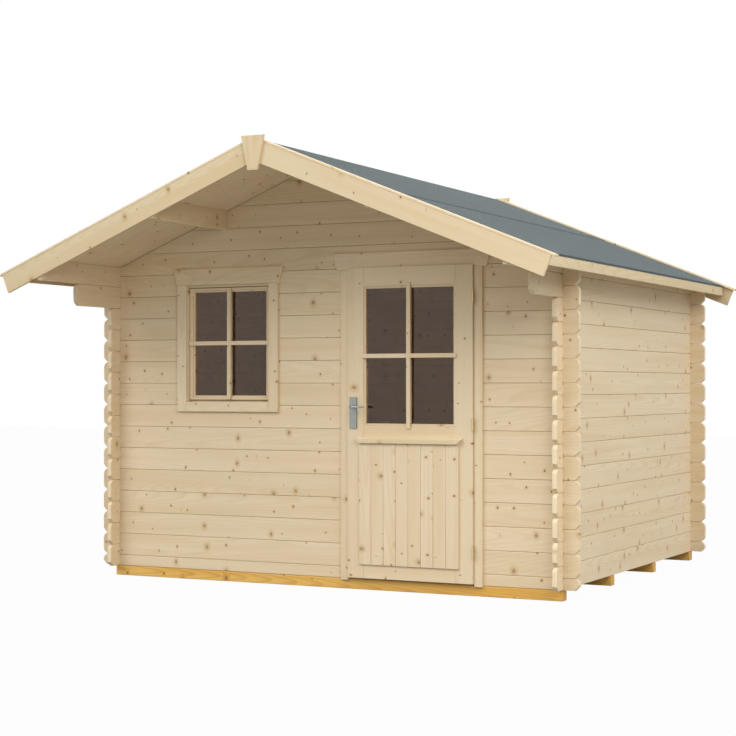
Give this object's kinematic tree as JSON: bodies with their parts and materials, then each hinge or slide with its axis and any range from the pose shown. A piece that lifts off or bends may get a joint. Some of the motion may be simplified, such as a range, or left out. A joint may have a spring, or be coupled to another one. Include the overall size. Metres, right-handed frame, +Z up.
{
  "type": "garden house",
  "caption": "Log-board garden house with an overhanging gable roof, a four-pane window and a half-glazed hinged door with a lever handle.",
  "frame": {"origin": "on the ground, under the middle of the building's bounding box", "axes": "+X to the right along the front, +Y from the front to the rear, +Z up"},
  "size_m": [3.478, 3.524, 2.5349],
  "materials": {
    "spruce": "planed, untreated",
    "impregnated_pine": "sawn, pressure-treated",
    "bitumen_felt": "granule-faced",
    "pane": "clear",
    "handle_metal": "satin",
    "hinge_metal": "zinc-plated"
  },
  "bodies": {
    "house": {"foundation_beam_front": "impregnated_pine", "foundation_beams_middle": "impregnated_pine", "foundation_beam_rear": "impregnated_pine", "floor_deck": "spruce", "front_wall_left": "spruce", "front_wall_right": "spruce", "front_gable": "spruce", "rear_wall": "spruce", "rear_gable": "spruce", "left_wall": "spruce", "right_wall": "spruce", "purlin_left": "spruce", "purlin_right": "spruce", "roof_boards_left": "spruce", "roof_boards_right": "spruce", "roof_felt_left": "bitumen_felt", "roof_felt_right": "bitumen_felt", "fascia_left": "spruce", "fascia_right": "spruce", "barge_board_front_left": "spruce", "barge_board_front_right": "spruce", "barge_board_rear_left": "spruce", "barge_board_rear_right": "spruce", "cover_strips_front": "spruce", "cover_strips_rear": "spruce", "ridge_piece_front": "spruce", "ridge_piece_rear": "spruce", "window_frame": "spruce", "window_sash": "spruce", "window_glass": "pane", "window_head_trim": "spruce", "window_side_trims": "spruce", "window_sill_trim": "spruce", "door_frame": "spruce", "door_threshold": "spruce", "door_head_trim": "spruce", "door_side_trims": "spruce", "door_hinges_frame": "hinge_metal"},
    "door": {"door_leaf_frame": "spruce", "door_panel": "spruce", "door_drip_rail": "spruce", "door_glass": "pane", "door_hinges_leaf": "hinge_metal", "door_handle_plates": "handle_metal"},
    "lever": {"door_lever": "handle_metal"}
  },
  "joints": [
    {"name": "door_hinge", "type": "hinge", "parent": "house", "child": "door", "pos_m": [0.95675, -0.97, 0.9625], "axis": [0, 0, 1], "range_deg": [0, 110]},
    {"name": "lever_turn", "type": "hinge", "parent": "door", "child": "lever", "pos_m": [0.2075, -0.965, 1.0535], "axis": [0, 1, 0], "range_deg": [0, 40], "stiffness_Nm_per_rad": 1.2, "springref_deg": -22.92}
  ]
}
